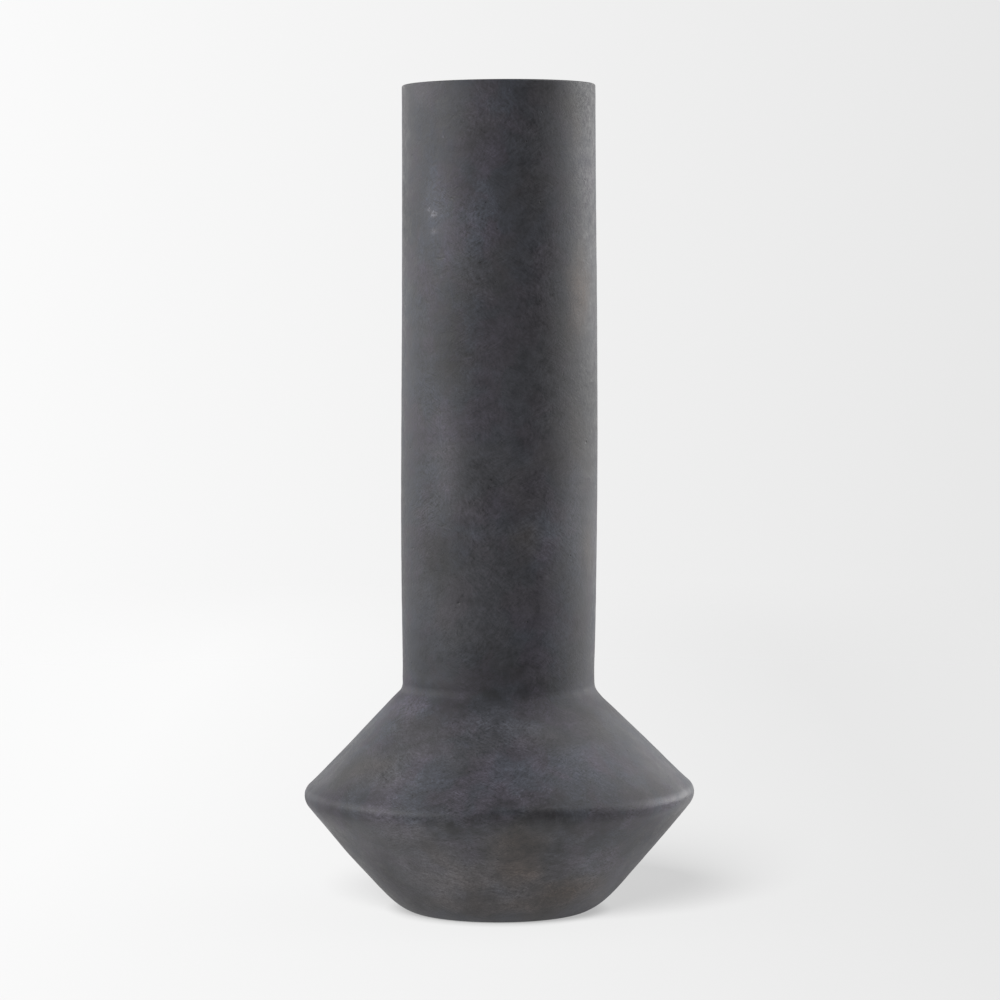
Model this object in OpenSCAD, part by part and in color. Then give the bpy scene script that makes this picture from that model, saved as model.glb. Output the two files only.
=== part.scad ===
// Tall stoneware vase: a long, nearly straight neck on a low double-cone belly.
// It is built from luted sections: a floor slab, two cone walls and a neck tube. Each seam is a V joint
// filled with slip, the two inner corners are backed by a coil of clay, and a glaze coat lines the inside.
// Millimetres, +Z up, origin at the centre of the resting face.

/* [Outer form] */
// Overall height, floor to lip
vase_h = 450; // [400:1:500]
// Radius at which the lower cone would meet the floor if its edge were sharp
foot_r = 54.5; // [50:0.5:60]
// Rounding of the foot's outer edge
foot_round = 29; // [24:0.5:32]
// Radius at which the two cones would meet if the ridge were sharp
belly_r = 109.2; // [104:0.2:116]
// Height of the belly ridge
belly_z = 64; // [60:0.5:70]
// Rounding of the belly ridge
belly_round = 7.4; // [5:0.2:9]
// Height at which the shoulder cone meets the line of the neck
neck_z = 121.8; // [118:0.2:128]

/* [Neck curve] */
// Radius at the foot of the neck
neck_foot_r = 52.2; // [51.5:0.1:54]
// Radius the curve is drawn towards in its lower third
neck_low_r = 55; // [53:0.1:57]
// Radius the curve is drawn towards in its upper third
neck_high_r = 52.4; // [51:0.1:54]
// Outer radius at the lip
mouth_r = 52.5; // [51.5:0.1:54]
// Hollow rounding between the shoulder and the neck
neck_fillet = 7.8; // [6:0.2:10]

/* [Walls] */
// Wall thickness of both cones
cone_wall = 7; // [6:0.1:7.6]
// Radius of the clay bore inside the neck
clay_bore_r = 46; // [44:0.1:47]
// Rounding of the lip's outer edge
lip_outer_round = 1; // [0.6:0.1:1.5]
// Rounding of the lip's inner edge
lip_inner_round = 2; // [1:0.1:2.6]

/* [Foot recess] */
// Radius of the turned recess under the floor slab
recess_r = 34; // [28:0.5:36]
// Depth of the turned recess
recess_depth = 2; // [1:0.1:3]

/* [Seams] */
// Half-width and depth of the V joints under the lower wall and at the ridge
wide_key = 2.6; // [2:0.1:2.8]
// Half-width and depth of the V joint under the neck
neck_key = 2; // [1.6:0.1:2.2]
// Drop of each tongue's point above the bottom of its groove, filled with slip
slip_gap = 0.8; // [0.6:0.1:1]
// Leg of the coil between the floor and the lower wall
foot_coil_leg = 8; // [6:0.5:10]
// Leg of the coil behind the ridge
belly_coil_leg = 10; // [7:0.5:12]

/* [Glaze] */
// Thickness of the glaze inside
glaze_t = 0.8; // [0.6:0.1:1.2]
// Unglazed height of the bore below the lip
bare_lip_h = 6; // [4:0.5:12]

/* [Hidden] */
$fn = 144;
round_fn = 96;
neck_steps = 16;
reach = belly_r + 20;
overcut = 1;

// Plane geometry in the radius-height plane: points are [radius, height].
function unit(v) = v / norm(v);
function left_of(a, b) = let (d = unit(b - a)) [-d[1], d[0]];
// The corner at b of the line a, b, c moved by t to its left
function mitre(a, b, c, t) =
    let (n = left_of(a, b))
    let (m = unit(n + left_of(b, c)))
    b + m * t / (m * n);
// Half of the angle at b between a and c
function half_angle(a, b, c) = acos(unit(a - b) * unit(c - b)) / 2;
// Where a round of radius r in the corner at b touches the side from b to a
function touch(a, b, c, r) = b + unit(a - b) * r / tan(half_angle(a, b, c));
// Centre of that round
function round_centre(a, b, c, r) =
    b + unit(unit(a - b) + unit(c - b)) * r / sin(half_angle(a, b, c));
// Point on the line a, b at height z
function at_height(a, b, z) = a + (b - a) * (z - a[1]) / (b[1] - a[1]);
// Point on the line a, b at radius r
function at_radius(a, b, r) = a + (b - a) * (r - a[0]) / (b[0] - a[0]);

// Sharp corners of the outer form
axis_foot = [0, 0];
foot_corner = [foot_r, 0];
ridge_corner = [belly_r, belly_z];
neck_corner = [neck_foot_r, neck_z];
above_neck = neck_corner + [0, neck_fillet];

// Seams: the floor slab ends a margin above the foot's round, the collar a margin above the fillet
seam_margin = 0.5;
function seam_above(z) = ceil(10 * (z + seam_margin)) / 10;
foot_round_top_z = touch(ridge_corner, foot_corner, axis_foot, foot_round)[1];
fillet_top_z = touch(above_neck, neck_corner, ridge_corner, neck_fillet)[1];
foot_seam_z = seam_above(foot_round_top_z);
belly_seam_z = belly_z;
neck_seam_z = seam_above(fillet_top_z);

// Radius of the neck at a share t of its height, a cubic curve through four radii
function neck_radius(t) =
    neck_foot_r * pow(1 - t, 3)
    + neck_low_r * 3 * t * pow(1 - t, 2)
    + neck_high_r * 3 * pow(t, 2) * (1 - t)
    + mouth_r * pow(t, 3);
neck_h = vase_h - neck_seam_z;
neck_curve = [
    for (i = [0 : neck_steps])
        [neck_radius(i / neck_steps), neck_seam_z + neck_h * i / neck_steps]
];

// Inner face of the clay: the cone lines moved in by the wall, closed by the floor and the bore
foot_in = foot_corner + left_of(foot_corner, ridge_corner) * cone_wall;
ridge_in = mitre(foot_corner, ridge_corner, neck_corner, cone_wall);
neck_in = neck_corner + left_of(ridge_corner, neck_corner) * cone_wall;
floor_edge = at_height(foot_in, ridge_in, foot_seam_z);
bore_foot = at_radius(ridge_in, neck_in, clay_bore_r);

// Coils: a bevel of the given leg across each inner corner
floor_axis = [0, foot_seam_z];
foot_coil_low = floor_edge + unit(floor_axis - floor_edge) * foot_coil_leg;
foot_coil_high = floor_edge + unit(ridge_in - floor_edge) * foot_coil_leg;
belly_coil_low = ridge_in + unit(floor_edge - ridge_in) * belly_coil_leg;
belly_coil_high = ridge_in + unit(bore_foot - ridge_in) * belly_coil_leg;

// Glaze: the lined face from the floor's centre to its bare edge under the lip, and the same face inside it
glaze_top = [clay_bore_r, vase_h - bare_lip_h];
lined_face = [
    floor_axis, foot_coil_low, foot_coil_high, belly_coil_low, belly_coil_high, bore_foot, glaze_top
];
last_face = len(lined_face) - 1;
glazed_face = concat(
    [floor_axis + [0, glaze_t]],
    [
        for (i = [1 : last_face - 1])
            mitre(lined_face[i - 1], lined_face[i], lined_face[i + 1], glaze_t)
    ],
    [glaze_top - [glaze_t, glaze_t]]
);

// Mid-wall radius of each seam's V joint
foot_key_r = (floor_edge[0] + at_height(foot_corner, ridge_corner, foot_seam_z)[0]) / 2;
belly_key_r = (ridge_in[0] + round_centre(foot_corner, ridge_corner, neck_corner, belly_round)[0]
    + belly_round) / 2;
neck_key_r = (clay_bore_r + neck_foot_r) / 2;

stoneware = [0.22, 0.22, 0.23];
fired_slip = [0.34, 0.3, 0.27];
coil_clay = [0.28, 0.26, 0.25];
dark_glaze = [0.12, 0.13, 0.15];

// Filled outline of the whole outer form up to the mouth
module outer_outline() {
    foot_centre = round_centre(axis_foot, foot_corner, ridge_corner, foot_round);
    belly_centre = round_centre(foot_corner, ridge_corner, neck_corner, belly_round);
    fillet_centre = [neck_foot_r + neck_fillet, fillet_top_z];
    difference() {
        union() {
            polygon(concat(
                [
                    axis_foot,
                    touch(axis_foot, foot_corner, ridge_corner, foot_round),
                    touch(ridge_corner, foot_corner, axis_foot, foot_round),
                    touch(foot_corner, ridge_corner, neck_corner, belly_round),
                    touch(neck_corner, ridge_corner, foot_corner, belly_round),
                    touch(ridge_corner, neck_corner, above_neck, neck_fillet),
                    [neck_foot_r, fillet_top_z]
                ],
                neck_curve,
                [[0, vase_h]]
            ));
            translate(foot_centre) circle(foot_round, $fn = round_fn);
            translate(belly_centre) circle(belly_round, $fn = round_fn);
        }
        translate(fillet_centre) circle(neck_fillet, $fn = round_fn);
    }
}

// Filled outline of the hollow inside the clay, without the coils
module inner_outline() {
    polygon([
        floor_axis, floor_edge, ridge_in, bore_foot,
        [clay_bore_r, vase_h + overcut], [0, vase_h + overcut]
    ]);
}

// The wall between two heights
module wall_band(z_low, z_high) {
    intersection() {
        difference() {
            outer_outline();
            inner_outline();
        }
        translate([0, z_low]) square([reach, z_high - z_low]);
    }
}

// V with its point below height z, carried up past z so that it joins or cuts cleanly
module key_outline(r, z, half) {
    polygon([
        [r - half, z + overcut], [r - half, z], [r, z - half],
        [r + half, z], [r + half, z + overcut]
    ]);
}

// Ring of slip between a groove and the tongue in it
module slip_ring(r, z, half) {
    tongue = half - slip_gap;
    rotate_extrude() polygon([
        [r - half, z], [r, z - half], [r + half, z],
        [r + tongue, z], [r, z - tongue], [r - tongue, z]
    ]);
}

module base() {
    color(stoneware) rotate_extrude() difference() {
        intersection() {
            outer_outline();
            square([reach, foot_seam_z]);
        }
        polygon([
            [0, -overcut], [recess_r + overcut, -overcut], [recess_r, 0],
            [recess_r - recess_depth, recess_depth], [0, recess_depth]
        ]);
        key_outline(foot_key_r, foot_seam_z, wide_key);
    }
}

module foot_slip() {
    color(fired_slip) slip_ring(foot_key_r, foot_seam_z, wide_key);
}

module foot_coil() {
    color(coil_clay) rotate_extrude() polygon([foot_coil_low, floor_edge, foot_coil_high]);
}

module lower_body() {
    color(stoneware) rotate_extrude() difference() {
        union() {
            wall_band(foot_seam_z, belly_seam_z);
            key_outline(foot_key_r, foot_seam_z, wide_key - slip_gap);
        }
        key_outline(belly_key_r, belly_seam_z, wide_key);
    }
}

module belly_slip() {
    color(fired_slip) slip_ring(belly_key_r, belly_seam_z, wide_key);
}

module belly_coil() {
    color(coil_clay) rotate_extrude() polygon([belly_coil_low, ridge_in, belly_coil_high]);
}

module shoulder() {
    color(stoneware) rotate_extrude() difference() {
        union() {
            wall_band(belly_seam_z, neck_seam_z);
            key_outline(belly_key_r, belly_seam_z, wide_key - slip_gap);
        }
        key_outline(neck_key_r, neck_seam_z, neck_key);
    }
}

module neck_slip() {
    color(fired_slip) slip_ring(neck_key_r, neck_seam_z, neck_key);
}

// Neck tube: the lip's two edges are cut back to their touching points and filled out by circles
module neck() {
    lip_out = [mouth_r, vase_h];
    lip_in = [clay_bore_r, vase_h];
    color(stoneware) rotate_extrude() union() {
        difference() {
            union() {
                wall_band(neck_seam_z, vase_h);
                key_outline(neck_key_r, neck_seam_z, neck_key - slip_gap);
            }
            translate(lip_out - [lip_outer_round, lip_outer_round]) square(lip_outer_round + overcut);
            translate(lip_in - [overcut, lip_inner_round])
                square([lip_inner_round + overcut, lip_inner_round + overcut]);
        }
        translate(lip_out - [lip_outer_round, lip_outer_round]) circle(lip_outer_round, $fn = round_fn);
        translate(lip_in + [lip_inner_round, -lip_inner_round]) circle(lip_inner_round, $fn = round_fn);
    }
}

module liner_glaze() {
    back_to_front = [for (i = [last_face : -1 : 0]) glazed_face[i]];
    color(dark_glaze) rotate_extrude() polygon(concat(lined_face, back_to_front));
}

base();
foot_slip();
foot_coil();
lower_body();
belly_slip();
belly_coil();
shoulder();
neck_slip();
neck();
liner_glaze();
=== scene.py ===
"""Tall stoneware vase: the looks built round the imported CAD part, in metres, in the row frame."""

import math

import bpy
import numpy as np
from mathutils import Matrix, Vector, noise


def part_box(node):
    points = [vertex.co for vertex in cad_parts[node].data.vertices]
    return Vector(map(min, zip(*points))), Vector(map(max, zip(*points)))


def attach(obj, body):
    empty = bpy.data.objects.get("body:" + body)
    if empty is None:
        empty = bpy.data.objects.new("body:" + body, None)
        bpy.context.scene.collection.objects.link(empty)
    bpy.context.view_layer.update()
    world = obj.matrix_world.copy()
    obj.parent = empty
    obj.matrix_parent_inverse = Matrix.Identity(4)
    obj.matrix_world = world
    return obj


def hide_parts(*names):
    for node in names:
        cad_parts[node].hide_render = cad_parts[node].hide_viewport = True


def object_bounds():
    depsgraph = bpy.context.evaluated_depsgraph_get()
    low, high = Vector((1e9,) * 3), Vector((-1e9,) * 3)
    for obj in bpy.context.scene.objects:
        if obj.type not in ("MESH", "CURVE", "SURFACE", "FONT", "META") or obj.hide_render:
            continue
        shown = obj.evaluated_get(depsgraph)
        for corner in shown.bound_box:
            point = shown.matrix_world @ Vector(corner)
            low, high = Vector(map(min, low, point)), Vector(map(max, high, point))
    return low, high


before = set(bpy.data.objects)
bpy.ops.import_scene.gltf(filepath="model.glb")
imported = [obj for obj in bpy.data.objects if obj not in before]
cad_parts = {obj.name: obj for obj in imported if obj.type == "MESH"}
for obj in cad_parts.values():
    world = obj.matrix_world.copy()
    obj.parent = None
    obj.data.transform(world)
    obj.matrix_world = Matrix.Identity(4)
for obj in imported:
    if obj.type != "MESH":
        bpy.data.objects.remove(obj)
cad_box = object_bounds()

# ---------------------------------------------------------------- the form, in metres
VASE_H = cad_box[1].z
FOOT_SEAM_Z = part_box("base")[1].z
BELLY_SEAM_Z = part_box("lower_body")[1].z
NECK_SEAM_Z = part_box("shoulder")[1].z

# The sharp corners of the outer face, each as (radius, height), and the rounds that soften them
FOOT_CORNER = (0.0545, 0.0)
RIDGE_CORNER = (0.1092, 0.064)
NECK_CORNER = (0.0522, 0.1218)
FOOT_ROUND = 0.029
RIDGE_ROUND = 0.0074
NECK_FILLET = 0.0078
# The neck's outer radius is a Bezier curve over these four radii, from its foot to the lip
NECK_RADII = (0.0522, 0.055, 0.0524, 0.0525)
LIP_OUT = 0.001
LIP_IN = 0.002

CONE_WALL = 0.007
BORE_R = 0.046
RECESS_R = 0.034
RECESS_DEPTH = 0.002
WIDE_KEY = 0.0026
NECK_KEY = 0.002
SLIP_GAP = 0.0008
FOOT_COIL_LEG = 0.008
BELLY_COIL_LEG = 0.010
GLAZE_T = 0.0008
BARE_LIP_H = 0.006

# How finely outlines are cut: steps in metres along lines, and numbers of steps round the curves
ROW_STEP = 0.0016
NECK_ROW_STEP = 0.0021
LIP_STEP = 0.0008
INNER_STEP = 0.006
GLAZE_STEP = 0.004
FOOT_ARC_STEPS = 22
RIDGE_ARC_STEPS = 20
FILLET_ARC_STEPS = 8
LIP_OUT_STEPS = 6
LIP_IN_STEPS = 8
SAME_POINT = 1e-7


def point(p):
    return np.array(p, float)


def unit(v):
    return v / np.linalg.norm(v)


def left_of(a, b):
    """The direction to the left of the way from a to b."""
    d = unit(point(b) - point(a))
    return np.array([-d[1], d[0]])


def mitre(a, b, c, t):
    """The corner at b of the line a, b, c moved by t to its left."""
    n = left_of(a, b)
    m = unit(n + left_of(b, c))
    return point(b) + m * t / (m @ n)


def half_angle(a, b, c):
    """Half the angle at b between the sides to a and c."""
    return math.acos(np.clip(unit(point(a) - point(b)) @ unit(point(c) - point(b)), -1, 1)) / 2


def touch(a, b, c, r):
    """Where a round of radius r in the corner at b touches the side from b to a."""
    return point(b) + unit(point(a) - point(b)) * r / math.tan(half_angle(a, b, c))


def round_centre(a, b, c, r):
    """The centre of a round of radius r in the corner at b."""
    inward = unit(unit(point(a) - point(b)) + unit(point(c) - point(b)))
    return point(b) + inward * r / math.sin(half_angle(a, b, c))


def at_height(a, b, z):
    """The point at height z of the line through a and b."""
    a, b = point(a), point(b)
    return a + (b - a) * (z - a[1]) / (b[1] - a[1])


def at_radius(a, b, r):
    """The point at radius r of the line through a and b."""
    a, b = point(a), point(b)
    return a + (b - a) * (r - a[0]) / (b[0] - a[0])


def arc(centre, radius, start, end, steps):
    """Points on a round from the point start to the point end, both ends kept."""
    a0 = math.atan2(start[1] - centre[1], start[0] - centre[0])
    a1 = math.atan2(end[1] - centre[1], end[0] - centre[0])
    turn = (a1 - a0 + math.pi) % (2 * math.pi) - math.pi
    angles = [a0 + turn * i / steps for i in range(steps + 1)]
    return [centre + radius * np.array([math.cos(a), math.sin(a)]) for a in angles]


def line(a, b, step):
    """Points from a to b no further than step apart, both ends kept."""
    a, b = point(a), point(b)
    n = max(1, int(math.ceil(np.linalg.norm(b - a) / step)))
    return [a + (b - a) * i / n for i in range(n + 1)]


def joined(*runs):
    """One run of points, with the point that two runs share kept once."""
    out = []
    for run in runs:
        for p in run:
            if not out or np.linalg.norm(out[-1] - p) > SAME_POINT:
                out.append(point(p))
    return out


# ---------------------------------------------------------------- outline of the outer face
AXIS_FOOT = (0.0, 0.0)
ABOVE_NECK = (NECK_CORNER[0], NECK_SEAM_Z)
foot_low = touch(AXIS_FOOT, FOOT_CORNER, RIDGE_CORNER, FOOT_ROUND)
foot_high = touch(RIDGE_CORNER, FOOT_CORNER, AXIS_FOOT, FOOT_ROUND)
foot_centre = round_centre(AXIS_FOOT, FOOT_CORNER, RIDGE_CORNER, FOOT_ROUND)
ridge_low = touch(FOOT_CORNER, RIDGE_CORNER, NECK_CORNER, RIDGE_ROUND)
ridge_high = touch(NECK_CORNER, RIDGE_CORNER, FOOT_CORNER, RIDGE_ROUND)
ridge_centre = round_centre(FOOT_CORNER, RIDGE_CORNER, NECK_CORNER, RIDGE_ROUND)
fillet_low = touch(RIDGE_CORNER, NECK_CORNER, ABOVE_NECK, NECK_FILLET)
fillet_high = touch(ABOVE_NECK, NECK_CORNER, RIDGE_CORNER, NECK_FILLET)
fillet_centre = np.array([NECK_CORNER[0] + NECK_FILLET, fillet_high[1]])
foot_arc = arc(foot_centre, FOOT_ROUND, foot_low, foot_high, FOOT_ARC_STEPS)
ridge_arc = arc(ridge_centre, RIDGE_ROUND, ridge_low, ridge_high, RIDGE_ARC_STEPS)
fillet_arc = arc(fillet_centre, NECK_FILLET, fillet_low, fillet_high, FILLET_ARC_STEPS)

seam_out = math.sqrt(RIDGE_ROUND**2 - (BELLY_SEAM_Z - ridge_centre[1]) ** 2)
ridge_seam = np.array([ridge_centre[0] + seam_out, BELLY_SEAM_Z])
foot_seam = at_height(FOOT_CORNER, RIDGE_CORNER, FOOT_SEAM_Z)
neck_seam = np.array([NECK_CORNER[0], NECK_SEAM_Z])

# inner face of the clay
foot_in = point(FOOT_CORNER) + left_of(FOOT_CORNER, RIDGE_CORNER) * CONE_WALL
ridge_in = mitre(FOOT_CORNER, RIDGE_CORNER, NECK_CORNER, CONE_WALL)
neck_in = point(NECK_CORNER) + left_of(RIDGE_CORNER, NECK_CORNER) * CONE_WALL
floor_edge = at_height(foot_in, ridge_in, FOOT_SEAM_Z)
bore_foot = at_radius(ridge_in, neck_in, BORE_R)
ridge_in_seam = at_height(ridge_in, neck_in, BELLY_SEAM_Z)
FOOT_KEY_R = (floor_edge[0] + foot_seam[0]) / 2
BELLY_KEY_R = (ridge_in[0] + ridge_centre[0] + RIDGE_ROUND) / 2
NECK_KEY_R = (BORE_R + NECK_CORNER[0]) / 2


def neck_radius(t):
    """The Bezier curve of NECK_RADII, where t runs from 0 at the seam to 1 at the mouth."""
    a, b, c, d = NECK_RADII
    return a * (1 - t) ** 3 + b * 3 * t * (1 - t) ** 2 + c * 3 * t**2 * (1 - t) + d * t**3


def neck_face():
    """The neck's outer face from its seam to the lip's outer round."""
    rise = VASE_H - LIP_OUT - NECK_SEAM_Z
    span = VASE_H - NECK_SEAM_Z
    n = int(rise / NECK_ROW_STEP)
    return [np.array([neck_radius(i / n * rise / span), NECK_SEAM_Z + rise * i / n]) for i in range(n + 1)]


def lip_face():
    """The lip from the neck's outer face over the top to the bore."""
    out_centre = np.array([NECK_RADII[3] - LIP_OUT, VASE_H - LIP_OUT])
    in_centre = np.array([BORE_R + LIP_IN, VASE_H - LIP_IN])
    out_top = out_centre + [0, LIP_OUT]
    in_top = in_centre + [0, LIP_IN]
    return joined(
        arc(out_centre, LIP_OUT, out_centre + [LIP_OUT, 0], out_top, LIP_OUT_STEPS),
        line(out_top, in_top, LIP_STEP),
        arc(in_centre, LIP_IN, in_top, in_centre - [LIP_IN, 0], LIP_IN_STEPS),
    )


def key(r, z, half, inward):
    """The V of a joint at height z, walked outward along the face, or inward."""
    pts = [point((r - half, z)), point((r, z - half)), point((r + half, z))]
    return pts[::-1] if inward else pts


# ---------------------------------------------------------------- handmade deviation
# How far the rings lean, each as (height, rise per metre towards +X)
LEAN = (
    (0.008, 0.0),
    (0.016, 0.001),
    (0.024, 0.004),
    (0.032, 0.006),
    (0.048, 0.006),
    (0.060, 0.010),
    (0.084, 0.011),
    (0.092, 0.009),
    (0.100, 0.004),
    (0.108, -0.003),
    (0.118, -0.010),
    (0.130, -0.010),
    (0.160, 0.0),
    (0.450, 0.008),
)
# How far the rings' centres drift, each as (height, distance towards +X)
DRIFT = (
    (0.0, -0.0003),
    (0.012, 0.0),
    (0.034, -0.0002),
    (0.05, 0.0001),
    (0.064, 0.0004),
    (0.08, 0.0),
    (0.11, 0.0001),
    (0.116, -0.0001),
    (0.120, 0.0002),
    (0.127, -0.0002),
    (0.15, 0.0),
    (0.25, 0.0003),
    (0.33, 0.0004),
    (0.45, -0.0001),
)
# Soft swellings and hollows of the outer face, each as (height, reach, outward)
SWELLS = (
    (0.0340, 0.0130, 0.0005),
    (0.0075, 0.0045, -0.0006),
    (0.1165, 0.0035, -0.00015),
    (0.1250, 0.0050, 0.0003),
)
# The ridge stands a touch proud and high of its drawn place
RIDGE_PROUD = 0.0001
RIDGE_RISE = 0.0007
RIDGE_REACH = 0.006
# The lowest edge of the foot, outside of the recess, is a little squarer than the round
FOOT_SPREAD = 0.0037
FOOT_REACH = 0.0013
FOOT_SPREAD_FROM_R = RECESS_R + 0.001
# Relief of the thrown face, each as (height, waves per metre, octaves); it grows in from the floor up
OUT_OF_ROUND = (0.00022, 11.0, 2)
THROWING_RINGS = (0.00005, 150.0, 2)
BRUSHED = (0.00004, 90.0, 3)
RELIEF_FULL_Z = 0.006
# The waves are drawn out by squeezing their coordinates: upward where the form is out of round, and round
# the axis in the throwing rings
WOBBLE_SQUEEZE = 0.5
RINGS_SQUEEZE = 0.15
# The run of the glaze's upper edge, in the same terms, and the depths between which it fades in
GLAZE_RUN = (0.0016, 45.0, 3)
GLAZE_RUN_PLANE = 0.3
GLAZE_RUN_DEPTHS = (0.02, 0.001)
# The depths under the lip between which the bore comes to follow the lip
BORE_FOLLOW_DEPTHS = (0.045, 0.012)


def smooth(a, b, x):
    t = np.clip((x - a) / (b - a), 0, 1)
    return t * t * (3 - 2 * t)


def bell(z, middle, reach):
    """1 at the middle height, falling softly to 0 above and below."""
    return math.exp(-(((z - middle) / reach) ** 2))


def from_table(table, z):
    return float(np.interp(z, [row[0] for row in table], [row[1] for row in table]))


def waves(p, height, per_metre, octaves):
    return height * noise.fractal(Vector(p) * per_metre, 1.0, 2.0, octaves, noise_basis="PERLIN_ORIGINAL")


def relief(x, y, z):
    """Outward relief of the thrown face: out of round, throwing rings and brushed unevenness."""
    wobble = waves((x, y, z * WOBBLE_SQUEEZE), *OUT_OF_ROUND)
    rings = waves((x * RINGS_SQUEEZE, y * RINGS_SQUEEZE, z), *THROWING_RINGS)
    return wobble + rings + waves((x, y, z), *BRUSHED)


def warp(r, z, angle, share):
    """A point of revolution moved to its handmade place; share is 1 on the outer face, 0 in the joints."""
    c, s = math.cos(angle), math.sin(angle)
    x, y = r * c, r * s
    if share <= 0:
        return (x, y, z)
    on_ridge = bell(z, RIDGE_CORNER[1], RIDGE_REACH)
    grow = float(smooth(0.0, RELIEF_FULL_Z, z)) * relief(x, y, z) + RIDGE_PROUD * on_ridge
    grow += sum(outward * bell(z, middle, reach) for middle, reach, outward in SWELLS)
    if r > FOOT_SPREAD_FROM_R:
        grow += FOOT_SPREAD * math.exp(-z / FOOT_REACH)
    x += share * (from_table(DRIFT, z) + grow * c)
    y += share * grow * s
    return (x, y, z + share * (from_table(LEAN, z) * r * c + RIDGE_RISE * on_ridge))


# ---------------------------------------------------------------- mesh code
SEGMENTS = 360
GLAZE_SEGMENTS = 180
SHARP = math.radians(32)
ON_AXIS = 1e-9


def band(low, high):
    """The faces between two rows of points; a row of one point is on the axis."""
    n = max(len(low), len(high))
    steps = [(k, (k + 1) % n) for k in range(n)]
    if len(low) == 1:
        return [(low[0], high[j], high[k]) for k, j in steps]
    if len(high) == 1:
        return [(low[k], low[j], high[0]) for k, j in steps]
    return [(low[k], low[j], high[j], high[k]) for k, j in steps]


def lathe(name, outline, shares, closed, segments=SEGMENTS):
    """Revolves an outline of (radius, height) points: a closed one, or one from the axis to the axis."""
    verts, rows = [], []
    for (r, z), share in zip(outline, shares):
        if r < ON_AXIS:
            ring = [(0.0, 0.0, z)]
        else:
            ring = [warp(r, z, 2 * math.pi * k / segments, share) for k in range(segments)]
        rows.append(list(range(len(verts), len(verts) + len(ring))))
        verts += ring
    pairs = list(zip(rows, rows[1:])) + ([(rows[-1], rows[0])] if closed else [])
    faces = [face for low, high in pairs for face in band(low, high)]
    mesh = bpy.data.meshes.new(name)
    mesh.from_pydata(verts, [], faces)
    mesh.shade_smooth()
    mark_sharp(mesh, outline, rows, closed)
    mesh.update()
    obj = bpy.data.objects.new(name, mesh)
    bpy.context.scene.collection.objects.link(obj)
    return obj


def mark_sharp(mesh, outline, rows, closed):
    """Marks the rings where the outline turns by more than the SHARP angle."""
    n = len(outline)
    ring_of = {}
    for i in range(n):
        if not closed and i in (0, n - 1):
            continue
        a, b, c = outline[i - 1], outline[i], outline[(i + 1) % n]
        u, v = unit(point(b) - point(a)), unit(point(c) - point(b))
        if math.acos(np.clip(u @ v, -1, 1)) > SHARP and len(rows[i]) > 1:
            ring_of.update({k: i for k in rows[i]})
    ends = np.zeros(len(mesh.edges) * 2, int)
    mesh.edges.foreach_get("vertices", ends)
    sharp = [a in ring_of and ring_of[a] == ring_of.get(b) for a, b in ends.reshape(-1, 2).tolist()]
    attribute = mesh.attributes.new("sharp_edge", "BOOLEAN", "EDGE")
    attribute.data.foreach_set("value", sharp)


def build_base():
    outer = joined(foot_arc, line(foot_high, foot_seam, ROW_STEP))
    under = [
        point((0, RECESS_DEPTH)),
        point((RECESS_R - RECESS_DEPTH, RECESS_DEPTH)),
        point((RECESS_R, 0)),
    ]
    top = key(FOOT_KEY_R, FOOT_SEAM_Z, WIDE_KEY, True) + [point((0, FOOT_SEAM_Z))]
    outline = under + outer + top
    shares = [0] * len(under) + [1] * len(outer) + [0] * len(top)
    return lathe("vase_base", outline, shares, closed=False)


def build_lower_body():
    tongue = [floor_edge] + key(FOOT_KEY_R, FOOT_SEAM_Z, WIDE_KEY - SLIP_GAP, False)
    outer = joined(
        line(foot_seam, ridge_low, ROW_STEP),
        arc(ridge_centre, RIDGE_ROUND, ridge_low, ridge_seam, RIDGE_ARC_STEPS // 2),
    )
    groove = key(BELLY_KEY_R, BELLY_SEAM_Z, WIDE_KEY, True)
    inner = joined([ridge_in_seam], line(ridge_in, floor_edge, INNER_STEP)[:-1])
    outline = tongue + outer + groove + inner
    shares = [0] * len(tongue) + [1] * len(outer) + [0] * (len(groove) + len(inner))
    return lathe("vase_lower_body", outline, shares, closed=True)


def build_shoulder():
    tongue = [ridge_in_seam] + key(BELLY_KEY_R, BELLY_SEAM_Z, WIDE_KEY - SLIP_GAP, False)
    outer = joined(
        arc(ridge_centre, RIDGE_ROUND, ridge_seam, ridge_high, RIDGE_ARC_STEPS // 2),
        line(ridge_high, fillet_low, ROW_STEP),
        fillet_arc,
        [neck_seam],
    )
    groove = key(NECK_KEY_R, NECK_SEAM_Z, NECK_KEY, True)
    inner = joined([point((BORE_R, NECK_SEAM_Z))], line(bore_foot, ridge_in_seam, INNER_STEP)[:-1])
    outline = tongue + outer + groove + inner
    shares = [0] * len(tongue) + [1] * len(outer) + [0] * (len(groove) + len(inner))
    return lathe("vase_shoulder", outline, shares, closed=True)


def bore_share(z):
    """The inside follows the lip near the mouth, and is true below."""
    starts, full = BORE_FOLLOW_DEPTHS
    return float(smooth(VASE_H - starts, VASE_H - full, z))


def build_neck():
    tongue = [point((BORE_R, NECK_SEAM_Z))] + key(NECK_KEY_R, NECK_SEAM_Z, NECK_KEY - SLIP_GAP, False)
    outer = joined(neck_face(), lip_face())
    inner = line((BORE_R, VASE_H - LIP_IN), (BORE_R, NECK_SEAM_Z), INNER_STEP)[1:-1]
    outline = tongue + outer + inner
    shares = [0] * len(tongue) + [1] * len(outer) + [bore_share(p[1]) for p in inner]
    return lathe("vase_neck", outline, shares, closed=True)


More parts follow.
